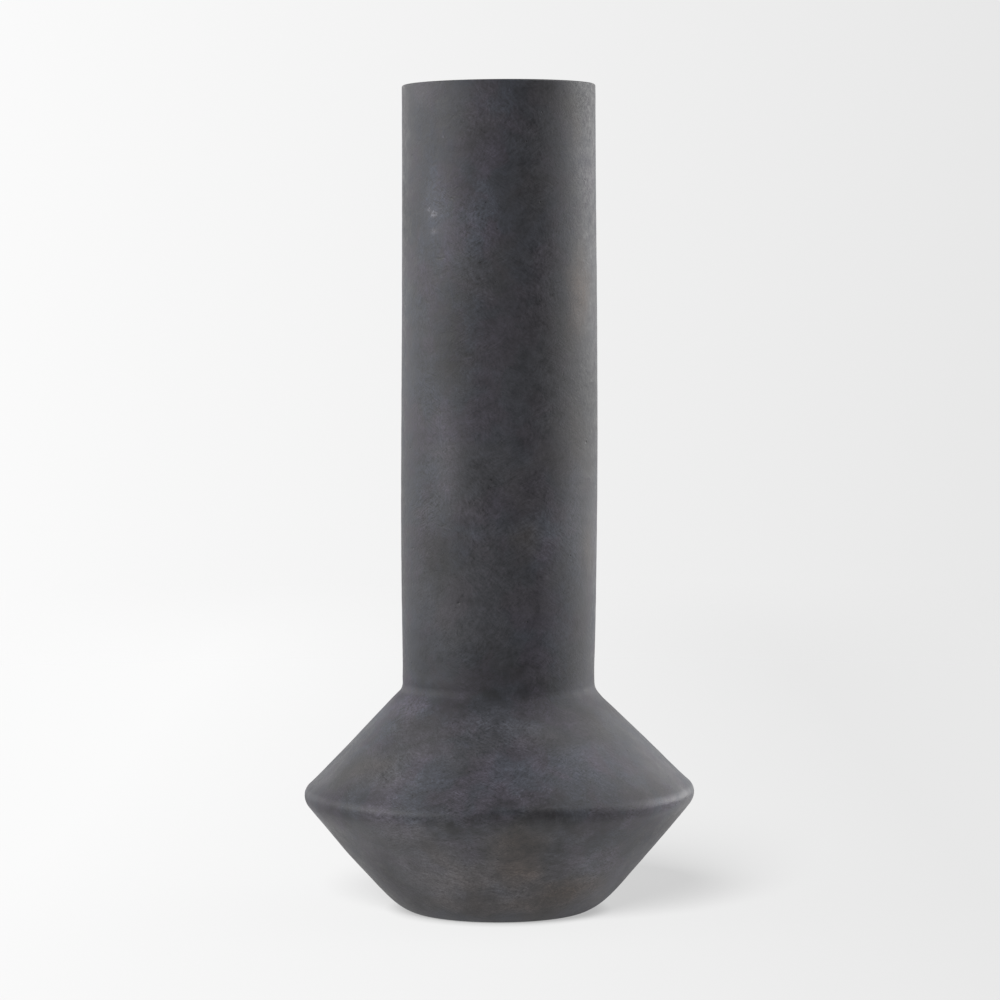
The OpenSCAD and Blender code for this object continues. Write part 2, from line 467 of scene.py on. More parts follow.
def wave_edge(obj):
    """Lets the glaze's upper edge run up and down by about a millimetre, where the brush stopped."""
    top = VASE_H - BARE_LIP_H
    starts, full = GLAZE_RUN_DEPTHS
    for v in obj.data.vertices:
        run = waves((v.co.x, v.co.y, GLAZE_RUN_PLANE), *GLAZE_RUN)
        v.co.z += run * float(smooth(top - starts, top - full, v.co.z))


def glaze_back():
    """The corners of the face that the glaze lies on, from the middle of the floor to the glaze's edge."""
    return [
        point((0, FOOT_SEAM_Z)),
        floor_edge - [FOOT_COIL_LEG, 0],
        floor_edge + unit(ridge_in - floor_edge) * FOOT_COIL_LEG,
        ridge_in + unit(floor_edge - ridge_in) * BELLY_COIL_LEG,
        ridge_in + unit(bore_foot - ridge_in) * BELLY_COIL_LEG,
        bore_foot,
        point((BORE_R, VASE_H - BARE_LIP_H)),
    ]


def cut_up(corners, step):
    return joined(*[line(a, b, step) for a, b in zip(corners, corners[1:])])


def build_liner():
    back = glaze_back()
    front = [back[0] + [0, GLAZE_T]]
    front += [mitre(a, b, c, GLAZE_T) for a, b, c in zip(back, back[1:], back[2:])]
    front += [back[-1] - [GLAZE_T, GLAZE_T]]
    outline = cut_up(back, GLAZE_STEP) + cut_up(front[::-1], GLAZE_STEP)
    shares = [bore_share(p[1]) for p in outline]
    obj = lathe("vase_liner_glaze", outline, shares, closed=False, segments=GLAZE_SEGMENTS)
    wave_edge(obj)
    return obj


# ---------------------------------------------------------------- node helpers
# How far apart the patterns of the numbered noise fields lie
PATTERN_STEP = (7.31, 3.17, 5.73)


class Tree:
    """Builds a node tree in plain calls. All but node and parts return the socket that has the result."""

    def __init__(self, tree):
        self.tree = tree
        tree.nodes.clear()

    def feed(self, socket, value):
        if isinstance(value, bpy.types.NodeSocket):
            self.tree.links.new(value, socket)
        else:
            socket.default_value = value

    def node(self, kind, inputs=None, **settings):
        """A new node, with its inputs fed by name or number; None leaves an input as it is."""
        n = self.tree.nodes.new(kind)
        for name, value in settings.items():
            setattr(n, name, value)
        for name, value in (inputs or {}).items():
            if value is not None:
                self.feed(n.inputs[name], value)
        return n

    def math(self, op, a, b=None, c=None, clamp=False):
        return self.node("ShaderNodeMath", {0: a, 1: b, 2: c}, operation=op, use_clamp=clamp).outputs[0]

    def vector(self, op, a, b=None, c=None, scale=None):
        n = self.node("ShaderNodeVectorMath", {0: a, 1: b, 2: c, "Scale": scale}, operation=op)
        return n.outputs["Value" if op in ("DOT_PRODUCT", "LENGTH") else "Vector"]

    def parts(self, vector):
        """The X, Y and Z of a vector, by name."""
        return self.node("ShaderNodeSeparateXYZ", {0: vector}).outputs

    def ramp(self, value, low, high, to_low=0.0, to_high=1.0, kind="SMOOTHSTEP"):
        """Runs from to_low to to_high as the value runs from low to high, and stays level beyond them."""
        ends = {"From Min": low, "From Max": high, "To Min": to_low, "To Max": to_high}
        n = self.node("ShaderNodeMapRange", {"Value": value, **ends}, interpolation_type=kind, clamp=True)
        return n.outputs["Result"]

    def mix(self, factor, a, b):
        return self.node("ShaderNodeMix", {0: factor, 6: a, 7: b}, data_type="RGBA").outputs[2]

    def noise(self, where, density, detail, pattern=0):
        """Fractal noise between 0 and 1, about 0.5 on average. The density is in cells per metre."""
        if pattern:
            where = self.vector("ADD", where, tuple(pattern * step for step in PATTERN_STEP))
        inputs = {"Vector": where, "Scale": density, "Detail": detail}
        return self.node("ShaderNodeTexNoise", inputs).outputs[0]

    def swing(self, where, density, detail, pattern=0):
        """Fractal noise with its average taken off."""
        return self.math("SUBTRACT", self.noise(where, density, detail, pattern), 0.5)

    def stirred(self, where, density, detail, reach):
        """Coordinates pushed about by noise, by up to half of the reach."""
        push = self.node("ShaderNodeTexNoise", {"Vector": where, "Scale": density, "Detail": detail})
        swing = self.vector("SUBTRACT", push.outputs["Color"], (0.5, 0.5, 0.5))
        return self.vector("MULTIPLY_ADD", swing, (reach, reach, reach), where)


def new_material(name):
    """A material, the builder of its empty tree, and the coordinates of the piece that wears it."""
    material = bpy.data.materials.new(name)
    material.use_nodes = True
    t = Tree(material.node_tree)
    return material, t, t.node("ShaderNodeTexCoord").outputs["Object"]


def add_surface(t, colour, roughness, bump_height, bump_distance):
    bump = t.node("ShaderNodeBump", {"Distance": bump_distance, "Height": bump_height})
    inputs = {"Base Color": colour, "Roughness": roughness, "Normal": bump.outputs[0]}
    shader = t.node("ShaderNodeBsdfPrincipled", inputs)
    t.node("ShaderNodeOutputMaterial", {"Surface": shader.outputs[0]})


# ---------------------------------------------------------------- stoneware
STONE_GREY = 0.0362
STONE_ROUGH = 0.45
STONE_BUMP = 0.00006
# Tints of the grey
COOL = (0.92, 1.00, 1.30, 1)
PURPLE = (1.12, 0.94, 1.28, 1)
NEUTRAL = (1.04, 0.99, 1.07, 1)
BROWN = (1.26, 1.00, 0.88, 1)

# Soft patches, each as (angle from the front towards +X in degrees, height in mm, half width across in mm,
# half height in mm, change in lightness), from the lip down to the lower cone. Some are the stone's own
# lighter and darker patches; others are painted light and shade, such as the painted highlight on the ridge
# at the right and the lighter painted ends of the neck's fillet.
PATCHES_AND_PAINTED_LIGHT = (
    (-50, 445, 12, 8, 0.6),
    (-10, 440, 14, 16, 0.5),
    (70, 440, 18, 26, -0.6),
    (55, 420, 8, 20, 0.4),
    (-40, 385, 9, 16, 0.7),
    (-10, 385, 8, 30, 0.5),
    (-75, 380, 18, 26, -0.6),
    (-25, 368, 15, 16, 0.4),
    (55, 340, 11, 22, 0.7),
    (-30, 305, 11, 32, -0.5),
    (70, 280, 18, 26, -0.6),
    (-33, 252, 9, 34, 0.6),
    (50, 225, 8, 34, 0.5),
    (30, 208, 20, 18, 0.6),
    (70, 200, 12, 26, 0.7),
    (-36, 195, 14, 18, -0.6),
    (36, 128, 18, 26, 0.5),
    # painted light: lighter ends of the neck's fillet, here and in the next two rows
    (70, 126, 18, 26, 0.8),
    (-76, 120, 18, 26, 0.8),
    (-54, 116, 14, 8, 0.9),
    (8, 108, 20, 10, 0.6),
    (37, 90, 28, 14, 0.6),
    (4, 85, 16, 8, 0.5),
    (-38, 82, 22, 10, 0.6),
    (75, 70, 18, 26, 0.6),
    (-75, 70, 18, 26, 0.5),
    # painted highlight on the ridge
    (60, 64, 24, 6, 0.8),
    (-28, 60, 26, 10, 0.5),
    (5, 60, 32, 7, -0.4),
    (8, 46, 14, 12, -0.3),
    (34, 36, 20, 12, 0.7),
    (-22, 28, 20, 22, 0.9),
    (5, 22, 18, 26, 0.6),
    (-52, 22, 18, 26, -0.4),
    (50, 20, 24, 26, 0.7),
)
# Where grain, grit and mottling are stronger than elsewhere, in the same terms
GRAINY = (
    (-42, 330, 26, 130, 0.75),
    (60, 330, 22, 120, 0.55),
)
# Small pale and grey scuffs in the same terms
SCUFFS = (
    (-41, 379.0, 2.4, 1.8, 4.5),
    (-41, 370.0, 2.2, 1.7, 2.6),
    (-45, 381.5, 1.6, 1.2, 2.4),
    (-34, 420.0, 1.0, 1.0, 1.4),
    (64, 438.0, 1.0, 3.0, 1.4),
    (62, 430.0, 0.8, 1.6, 1.2),
    (50, 420.0, 1.0, 1.2, 1.4),
    (-35, 346.0, 0.9, 1.1, 1.2),
    (-4, 334.0, 1.6, 0.8, 0.8),
)
# Where one set of brush marks is plainer than elsewhere, each as (number in STROKES, angle, height in mm,
# half width across in mm, half height in mm, added strength)
PLAIN_STROKES = (
    (3, -33, 386, 13, 8, 2.0),
    (5, -36, 354, 10, 12, 1.3),
    (3, 36, 306, 8, 10, 1.1),
    (4, -52, 214, 10, 16, 1.2),
)
# Warmer stains as in PATCHES_AND_PAINTED_LIGHT, with how far they go to brown
STAINED = (
    (52, 428, 9, 16, 0.5),
    (56, 340, 11, 24, 0.8),
    (68, 198, 10, 20, 0.5),
    (20, 300, 22, 70, 0.25),
    (56, 300, 24, 130, 0.35),
    (24, 420, 14, 26, 0.3),
    (15, 206, 10, 12, 0.4),
    (0, 106, 26, 12, 0.2),
    (48, 104, 14, 12, 0.35),
    (25, 102, 16, 7, 0.35),
    (-52, 86, 20, 9, 0.4),
    (-62, 80, 12, 8, 0.3),
    (5, 50, 14, 12, 0.6),
    (8, 34, 18, 8, 0.5),
    (33, 21, 22, 8, 0.65),
    (-36, 50, 30, 12, 0.25),
    (-25, 24, 26, 16, 0.25),
    (0, 10, 50, 7, 0.4),
)
# Broad belts round the vase, each as (height in mm, half height in mm, change in lightness): painted shade
# at the neck's foot and just under the ridge, and a lighter belt over the shoulder
BELTS_WITH_PAINTED_SHADE = (
    (133, 19, -0.45),
    (92, 22, 0.10),
    (61, 4, -0.15),
)
# The lower cone is warmer all round, in the same terms
WARM_BELTS = ((28, 34, 0.27),)
# Where the face is rougher than elsewhere, each as (height in mm, half height in mm, added roughness)
ROUGHER = (
    (24, 34, 0.10),
    (122, 12, 0.15),
)
# The ridge is rubbed smooth at one side and dry at the other, each as in PATCHES_AND_PAINTED_LIGHT with added roughness
WORN = (
    (66, 64, 34, 7, -0.13),
    (-62, 62, 34, 7, 0.14),
)
# Two plain pinholes, each as (angle, height in mm, radius in mm)
PINHOLES = (
    (-24, 172, 0.9),
    (61, 257, 0.9),
)
# Brush marks, each as (turn round the axis in radians per metre of height, density round, density up,
# strength on the neck, strength on the body)
STROKES = (
    (0.0, 820, 150, 1.0, 0.6),
    (13.0, 760, 170, 1.0, 1.0),
    (-14.0, 800, 180, 1.0, 1.0),
    (30.0, 700, 210, 0.9, 1.1),
    (-34.0, 720, 220, 0.9, 1.1),
    (0.0, 120, 780, 0.35, 0.7),
    (0.0, 90, 560, 0.35, 0.7),
)
STROKE_DETAIL = 1.5
STROKE_AREAS = (34.0, 1.0)
STROKE_AREAS_FIRST_PATTERN = 11

# Coordinates are stirred for soft patches and for brush marks, each as (cells per metre, detail, reach)
DRAWN = (60.0, 3.0, 0.016)
CURLED = (120.0, 1.0, 0.007)
# Noise fields, each as (cells per metre, detail, number of the pattern)
GRAIN = (1500.0, 1.0, 3)
GRIT = (620.0, 2.0, 4)
MOTTLE = (150.0, 3.0, 5)
CLOUD = (24.0, 3.0, 6)
PATCHY = (62.0, 2.0, 7)
SPECKS = (900.0, 0.0, 8)
RIDGE_SPECK_AREAS = (70.0, 1.0, 9)
SPECK_AREAS = (45.0, 2.0, 10)
WARM_AREAS = (21.0, 3.0, 12)
PURPLE_AREAS = (48.0, 3.0, 13)
SCUFF_BREAKS = (850.0, 1.0, 14)
# The values of a field between which its areas begin and are full
STROKE_AREAS_EDGE = (0.40, 0.60)
SPECKS_EDGE = (0.64, 0.76)
RIDGE_SPECK_EDGE = (0.42, 0.62)
SPECK_AREAS_EDGE = (0.52, 0.68)
WARM_EDGE = (0.46, 0.62)
PURPLE_EDGE = (0.44, 0.60)
SCUFF_BREAKS_EDGE = (0.44, 0.58)
# How much of a field goes into the lightness
GRAIN_LIGHT = 0.70
GRIT_LIGHT = 0.95
MOTTLE_LIGHT = 1.2
CLOUD_LIGHT = 0.40
SPECK_LIGHT = 0.55
# How much goes into the bump
MARKS_BUMP = 0.8
MOTTLE_BUMP = 2.2
PIT_BUMP = -3.0
# How much goes into the roughness
MARKS_ROUGH = 0.20
GRIT_ROUGH = 0.30
MOTTLE_ROUGH = 0.34
# Strength on the neck and on the body
TEXTURE_STRENGTH = (0.9, 1.3)
PATCHY_STRENGTH = (0.3, 1.5)
# Where the neck's strength gives way to the body's, each as (height, half of the change's height)
TEXTURE_TURN = (0.128, 0.01)
STROKES_TURN = (0.144, 0.006)

DARKEST = 0.3
# How much the pinholes are darkened in colour: painted shade in the holes
PIT_SHADE = 0.75
# Specks are thick in a belt over the ridge, (height in mm, half height in mm), and thin elsewhere
RIDGE_SPECK_BELT = (73, 9)
THIN_SPECKS = 0.30
# How warm the stone gets in cloudy areas, and how purple
WARM_MOST = 0.25
PURPLE_MOST = 0.7
# What is left of a scuff where it breaks up, how warm it is, and its share of that per unit of lightness
SCUFF_LEAST = 0.15
SCUFF_WARMTH = 0.3
SCUFF_WARMS = 0.5
# The warmth at which the tint is neutral, and the span over which it goes on to brown
NEUTRAL_WARMTH = 0.5
BROWN_WARMTH = (0.45, 1.1)
# How far soft edges reach, in metres per millimetre of half width or half height
BLOT_REACH = 0.0016
BELT_REACH = 0.0017

# Voronoi cells that pinholes sit in, per metre, the share of cells without one, and the edge in cells
PIT_CELLS = 130.0
PIT_FREE = 0.80
PIT_EDGE = (0.075, 0.035)

OUTER_FACE = joined(foot_arc, ridge_arc, fillet_arc, neck_face())


def on_face(angle, height):
    """The point of the outer face at an angle in degrees and a height in mm."""
    z = height / 1000
    r = np.interp(z, [p[1] for p in OUTER_FACE], [p[0] for p in OUTER_FACE])
    a = math.radians(angle)
    return Vector((r * math.sin(a), -r * math.cos(a), z))


def blot(t, where, angle, height, across, up):
    """1 at a point of the outer face, falling softly to 0 round it."""
    centre = on_face(angle, height)
    size = Vector((across, across, up)) * BLOT_REACH
    inverse = Vector((1 / size.x, 1 / size.y, 1 / size.z))
    away = t.vector("LENGTH", t.vector("MULTIPLY_ADD", where, inverse, -centre * inverse))
    return t.ramp(away, 1.0, 0.0)


def belt(t, height, middle, half):
    """1 at a height in mm, falling softly to 0 above and below."""
    away = t.math("ABSOLUTE", t.math("SUBTRACT", height, middle / 1000))
    return t.ramp(away, half * BELT_REACH, 0.0)


def with_blots(t, where, table, value):
    """The value with a table of soft patches added."""
    for angle, up, across, tall, change in table:
        value = t.math("MULTIPLY_ADD", blot(t, where, angle, up, across, tall), change, value)
    return value


def with_belts(t, height, table, value):
    """The value with a table of belts added."""
    for up, tall, change in table:
        value = t.math("MULTIPLY_ADD", belt(t, height, up, tall), change, value)
    return value


def by_section(t, height, on_neck, on_body, turn, soft):
    """One value on the neck and another on the body."""
    return t.ramp(height, turn + soft, turn - soft, on_neck, on_body)


def strokes(t, where, height):
    """Short crossing brush marks, about 0 on average, each set showing in its own cloudy areas."""
    total = 0.0
    for number, (turn, density_round, density_up, on_neck, on_body) in enumerate(STROKES):
        spun = where
        if turn:
            inputs = {"Vector": where, "Angle": t.math("MULTIPLY", height, turn)}
            spun = t.node("ShaderNodeVectorRotate", inputs, rotation_type="Z_AXIS").outputs[0]
        stretched = t.vector("MULTIPLY", spun, (density_round, density_round, density_up))
        marks = t.swing(stretched, 1.0, STROKE_DETAIL, number)
        areas = t.noise(where, *STROKE_AREAS, number + STROKE_AREAS_FIRST_PATTERN)
        section = by_section(t, height, on_neck, on_body, *STROKES_TURN)
        shows = t.math("MULTIPLY", t.ramp(areas, *STROKE_AREAS_EDGE), section)
        shows = with_blots(t, where, [row[1:] for row in PLAIN_STROKES if row[0] == number], shows)
        total = t.math("MULTIPLY_ADD", marks, shows, total)
    return total


def specks(t, where, height):
    """Small pale specks."""
    ridge_areas = t.ramp(t.noise(where, *RIDGE_SPECK_AREAS), *RIDGE_SPECK_EDGE)
    over_ridge = t.math("MULTIPLY", belt(t, height, *RIDGE_SPECK_BELT), ridge_areas)
    areas = t.ramp(t.noise(where, *SPECK_AREAS), *SPECK_AREAS_EDGE)
    thickness = t.math("MULTIPLY_ADD", areas, THIN_SPECKS, over_ridge)
    return t.math("MULTIPLY", t.ramp(t.noise(where, *SPECKS), *SPECKS_EDGE), thickness)


def pinholes(t, where):
    """Sparse pinholes about a millimetre across, 1 inside and 0 outside."""
    cells = t.node("ShaderNodeTexVoronoi", {"Vector": where, "Scale": PIT_CELLS}, feature="F1")
    pick = t.node("ShaderNodeSeparateColor", {0: cells.outputs["Color"]}).outputs[0]
    chosen = t.math("GREATER_THAN", pick, PIT_FREE)
    total = t.math("MULTIPLY", t.ramp(cells.outputs["Distance"], *PIT_EDGE), chosen)
    for angle, up, radius in PINHOLES:
        total = t.math("MAXIMUM", total, blot(t, where, angle, up, radius, radius))
    return total


def stone_and_painted_lightness(t, where, drawn, height, mottle, scuffed):
    """How light the stone is against STONE_GREY, apart from its fine texture; the patches and belts also
    carry painted highlights and shade.
    """
    cloudy = t.math("MULTIPLY_ADD", t.swing(drawn, *CLOUD), CLOUD_LIGHT, 1.0)
    light = t.math("MULTIPLY_ADD", mottle, MOTTLE_LIGHT, cloudy)
    patchy_strength = by_section(t, height, *PATCHY_STRENGTH, *TEXTURE_TURN)
    light = t.math("MULTIPLY_ADD", t.swing(drawn, *PATCHY), patchy_strength, light)
    # the patches bring painted highlights and shade as well as the stone's own lighter and darker patches
    light = with_blots(t, drawn, PATCHES_AND_PAINTED_LIGHT, light)
    # the belts paint shade at the neck's foot and just under the ridge
    light = with_belts(t, t.parts(drawn)["Z"], BELTS_WITH_PAINTED_SHADE, light)
    light = t.math("MAXIMUM", light, DARKEST)
    whole = t.ramp(t.noise(where, *SCUFF_BREAKS), *SCUFF_BREAKS_EDGE, SCUFF_LEAST, 1.0)
    light = t.math("MULTIPLY_ADD", scuffed, whole, light)
    return t.math("MULTIPLY_ADD", specks(t, where, height), SPECK_LIGHT, light)


def stone_tint(t, drawn, height, scuffed):
    """Blue-grey and purple clouds that turn neutral and then brown with warmth."""
    warm = t.ramp(t.noise(drawn, *WARM_AREAS), *WARM_EDGE, 0.0, WARM_MOST)
    warm = with_belts(t, height, WARM_BELTS, warm)
    on_scuff = t.math("MULTIPLY", scuffed, SCUFF_WARMS, clamp=True)
    warm = t.math("MAXIMUM", warm, t.math("MULTIPLY", on_scuff, SCUFF_WARMTH))
    warm = with_blots(t, drawn, STAINED, warm)
    purple = t.ramp(t.noise(drawn, *PURPLE_AREAS), *PURPLE_EDGE)
    tint = t.mix(t.math("MULTIPLY", purple, PURPLE_MOST), COOL, PURPLE)
    tint = t.mix(t.ramp(warm, 0.0, NEUTRAL_WARMTH, kind="LINEAR"), tint, NEUTRAL)
    return t.mix(t.ramp(warm, *BROWN_WARMTH, kind="LINEAR"), tint, BROWN)


def stone_roughness(t, drawn, height, marks, grit, mottle):
    rough = t.math("MULTIPLY_ADD", marks, MARKS_ROUGH, STONE_ROUGH)
    rough = t.math("MULTIPLY_ADD", mottle, MOTTLE_ROUGH, rough)
    rough = t.math("MULTIPLY_ADD", grit, GRIT_ROUGH, rough)
    rough = with_belts(t, height, ROUGHER, rough)
    return with_blots(t, drawn, WORN, rough)


def stoneware():
    """Dry charcoal stoneware with brush marks, mottling, pale, dark and stained patches, specks and
    pinholes; some patches, the belts and the pinholes' darkening are painted highlights and shade.
    """
    material, t, where = new_material("stoneware")
    height = t.parts(where)["Z"]
    drawn = t.stirred(where, *DRAWN)
    marks = strokes(t, t.stirred(where, *CURLED), height)
    grit = t.swing(where, *GRIT)
    mottle = t.swing(where, *MOTTLE)
    pits = pinholes(t, where)
    scuffed = with_blots(t, where, SCUFFS, 0.0)
    strength = with_blots(t, where, GRAINY, by_section(t, height, *TEXTURE_STRENGTH, *TEXTURE_TURN))

    strong_mottle = t.math("MULTIPLY", mottle, strength)
    light = stone_and_painted_lightness(t, where, drawn, height, strong_mottle, scuffed)
    coarse = t.math("MULTIPLY_ADD", grit, GRIT_LIGHT, marks)
    fine = t.math("MULTIPLY_ADD", t.swing(where, *GRAIN), GRAIN_LIGHT, coarse)
    texture = t.math("ADD", t.math("MULTIPLY", fine, strength), 1.0)
    grey = t.math("MULTIPLY", t.math("MULTIPLY", light, texture), STONE_GREY)
    # the pinholes are darkened: painted shade in the holes
    grey = t.math("MULTIPLY", grey, t.math("MULTIPLY_ADD", pits, -PIT_SHADE, 1.0))
    colour = t.vector("SCALE", stone_tint(t, drawn, height, scuffed), scale=grey)

    bump = t.math("MULTIPLY_ADD", mottle, MOTTLE_BUMP, t.math("MULTIPLY", coarse, MARKS_BUMP))
    bump = t.math("MULTIPLY_ADD", pits, PIT_BUMP, bump)
    rough = stone_roughness(t, drawn, height, marks, grit, mottle)
    add_surface(t, colour, rough, bump, STONE_BUMP)
    return material


# ---------------------------------------------------------------- glaze, slip and coil clay
SLIP_COLOURS = ((0.16, 0.13, 0.11, 1), (0.12, 0.10, 0.09, 1))
SLIP_ROUGH = 0.85
COIL_COLOURS = ((0.11, 0.10, 0.095, 1), (0.08, 0.074, 0.072, 1))
COIL_ROUGH = 0.80
CLAY_CLOUD = (60.0, 3.0)
CLAY_GRIT = (700.0, 2.0, 1)
CLAY_BUMP = 0.0004
CLAY_CLOUD_BUMP = 1.5
CLAY_ROUGH_SWING = 0.12
CLAY_GRIT_SHADE = 0.5
CLAY_LEAST_SHADE = 0.75

GLAZE_COLOURS = ((0.017, 0.018, 0.021, 1), (0.030, 0.031, 0.034, 1))
GLAZE_FLECK_COLOUR = (0.075, 0.060, 0.048, 1)
GLAZE_CLOUD = (34.0, 3.0)
GLAZE_PEEL = (260.0, 1.0, 1)
GLAZE_FLECKS = (800.0, 0.0, 2)
GLAZE_FLECKS_EDGE = (0.68, 0.78)
GLAZE_FLECKS_MOST = 0.5
GLAZE_ROUGH = (0.20, 0.32)
GLAZE_BUMP = 0.0003
# The values that most of a cloudy noise field lies between
CLOUD_SPAN = (0.35, 0.65)
WIDE_SPAN = (0.3, 0.7)


def plain_clay(name, colours, rough):
    """Matte fired clay with uneven colour and a pressed, gritty face."""
    material, t, where = new_material(name)
    cloud = t.noise(where, *CLAY_CLOUD)
    grit = t.noise(where, *CLAY_GRIT)
    shade = t.mix(t.ramp(cloud, *CLOUD_SPAN), *colours)
    grey = t.math("MULTIPLY_ADD", grit, CLAY_GRIT_SHADE, CLAY_LEAST_SHADE)
    colour = t.vector("SCALE", shade, scale=grey)
    roughness = t.ramp(cloud, *WIDE_SPAN, rough, rough - CLAY_ROUGH_SWING)
    add_surface(t, colour, roughness, t.math("MULTIPLY_ADD", cloud, CLAY_CLOUD_BUMP, grit), CLAY_BUMP)
    return material


def liner_glaze():
    """Dark glaze, pooled darker in places, with a slight orange-peel face."""
    material, t, where = new_material("liner_glaze")
    cloud = t.noise(where, *GLAZE_CLOUD)
    fleck = t.ramp(t.noise(where, *GLAZE_FLECKS), *GLAZE_FLECKS_EDGE)
    shade = t.mix(t.ramp(cloud, *CLOUD_SPAN), *GLAZE_COLOURS)
    colour = t.mix(t.math("MULTIPLY", fleck, GLAZE_FLECKS_MOST), shade, GLAZE_FLECK_COLOUR)
    roughness = t.ramp(cloud, *WIDE_SPAN, *GLAZE_ROUGH)
    add_surface(t, colour, roughness, t.noise(where, *GLAZE_PEEL), GLAZE_BUMP)
    return material


def paint(obj, material):
    """Gives a carried-over CAD node a material in place of the one it came with."""
    if not obj.data.materials:
        obj.data.materials.append(material)
    for i in range(len(obj.data.materials)):
        obj.data.materials[i] = material


# ---------------------------------------------------------------- pieces
stone = stoneware()
glaze = liner_glaze()
slip = plain_clay("fired_slip", SLIP_COLOURS, SLIP_ROUGH)
coil = plain_clay("coil_clay", COIL_COLOURS, COIL_ROUGH)

made = {}
for make, node, slot, material in (
    (build_base, "base", "stoneware", stone),
    (build_lower_body, "lower_body", "stoneware", stone),
    (build_shoulder, "shoulder", "stoneware", stone),
    (build_neck, "neck", "stoneware", stone),
    (build_liner, "liner_glaze", "liner_glaze", glaze),
):
    piece = make()
    piece.data.materials.append(material)
    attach(piece, "root")
    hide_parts(node)
    made[node] = piece

for node in ("foot_slip", "belly_slip", "neck_slip"):
    paint(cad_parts[node], slip)
for node in ("foot_coil", "belly_coil"):
    paint(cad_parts[node], coil)

# ---------------------------------------------------------------- floor and backdrop
FLOOR_R = 2.6
FLOOR_RINGS = (0.2, 0.5, 1.0, 1.6, FLOOR_R)
FLOOR_SIDES = 96
FLOOR_FADE = (1.2, 0.97 * FLOOR_R)
FLOOR_ALBEDO = 0.035
# Brightness that the softboxes give a white floor
SKY_ON_FLOOR = 0.917
# Brightness of the paper straight behind the vase, its loss per unit of direction towards +X, and how far
# to either side the loss goes on
PAPER_MID = 0.882
PAPER_SLOPE = 0.564
PAPER_REACH = 0.14
# The lit sheet ends between these distances from the vase, and the room beyond is dark in front and at the
# left, less so from LEFT_FAR on. All of it shows in the vase's reflections only
SHEET_END = (0.27, 0.31)
FRONT_DARK = 0.82
FRONT_EDGE = (-0.4, -0.6)
LEFT_DARK = 0.75
LEFT_EDGE = (0.08, -0.08)
LEFT_FAR = (0.7, 0.9)
LEFT_FAR_DARK = 0.3
# The lights do not reach the paper right under the vase: in reflections, and for all to see at its foot
CONTACT_SHADE = (0.105, 0.065)
CONTACT_DEPTH = 0.28
FOOT_TOUCH = (0.050, 0.064)
FOOT_TOUCH_LIGHT = 0.74
NEAR_MIDDLE = 0.01
HORIZON = (-0.02, 0.02)
WHITE = (1, 1, 1, 1)


def dimmed(t, value, share):
    """The value less a share of itself."""
    return t.math("MULTIPLY", value, t.math("SUBTRACT", 1.0, share))


def paper_brightness(t, across, middle):
    """Pale paper, a little brighter on the -X side."""
    swing = PAPER_SLOPE * PAPER_REACH
    return t.ramp(across, -PAPER_REACH, PAPER_REACH, middle + swing, middle - swing, kind="LINEAR")


def room_shade(t, side, left_dark):
    """How dark the room is towards a horizontal direction: dark in front, less so at the left."""
    parts = t.parts(side)
    front = t.ramp(parts["Y"], *FRONT_EDGE)
    left = t.math("MULTIPLY", t.ramp(parts["X"], *LEFT_EDGE), left_dark)
    return t.math("MULTIPLY_ADD", front, t.math("SUBTRACT", FRONT_DARK, left), left)


def floor_glow(t, where, reach):
    """The sheet's own light, which makes up what the lights leave short of the paper's brightness."""
    across = t.math("DIVIDE", t.parts(where)["X"], CAMERA_DISTANCE)
    sun = SUN_STRENGTH * math.sin(math.radians(SUN_ELEVATION)) / math.pi
    glow = paper_brightness(t, across, PAPER_MID - FLOOR_ALBEDO * (SKY_ON_FLOOR + sun))
    unseen = t.math("SUBTRACT", 1.0, t.node("ShaderNodeLightPath").outputs["Is Camera Ray"])

    side = t.vector("DIVIDE", where, t.math("MAXIMUM", reach, NEAR_MIDDLE))
    room = room_shade(t, side, t.ramp(reach, *LEFT_FAR, LEFT_DARK, LEFT_FAR_DARK))
    dark = t.math("MULTIPLY", room, t.ramp(reach, *SHEET_END))
    glow = dimmed(t, glow, t.math("MULTIPLY", dark, unseen))

    under = t.math("MULTIPLY", t.ramp(reach, *CONTACT_SHADE), unseen)
    glow = dimmed(t, glow, t.math("MULTIPLY", under, CONTACT_DEPTH))
    return t.math("MULTIPLY", glow, t.ramp(reach, *FOOT_TOUCH, FOOT_TOUCH_LIGHT, 1.0))


def floor_material():
    """Paper that mostly glows by itself and fades away far from the vase."""
    material, t, where = new_material("paper")
    reach = t.vector("LENGTH", where)
    lit = t.node("ShaderNodeBsdfDiffuse", {"Color": (FLOOR_ALBEDO, FLOOR_ALBEDO, FLOOR_ALBEDO, 1)})
    shine = t.node("ShaderNodeEmission", {"Color": WHITE, "Strength": floor_glow(t, where, reach)})
    both = t.node("ShaderNodeAddShader", {0: lit.outputs[0], 1: shine.outputs[0]})
    clear = t.node("ShaderNodeBsdfTransparent")
    fade = t.ramp(reach, *FLOOR_FADE)
    blend = t.node("ShaderNodeMixShader", {0: fade, 1: both.outputs[0], 2: clear.outputs[0]})
    t.node("ShaderNodeOutputMaterial", {"Surface": blend.outputs[0]})
    return material


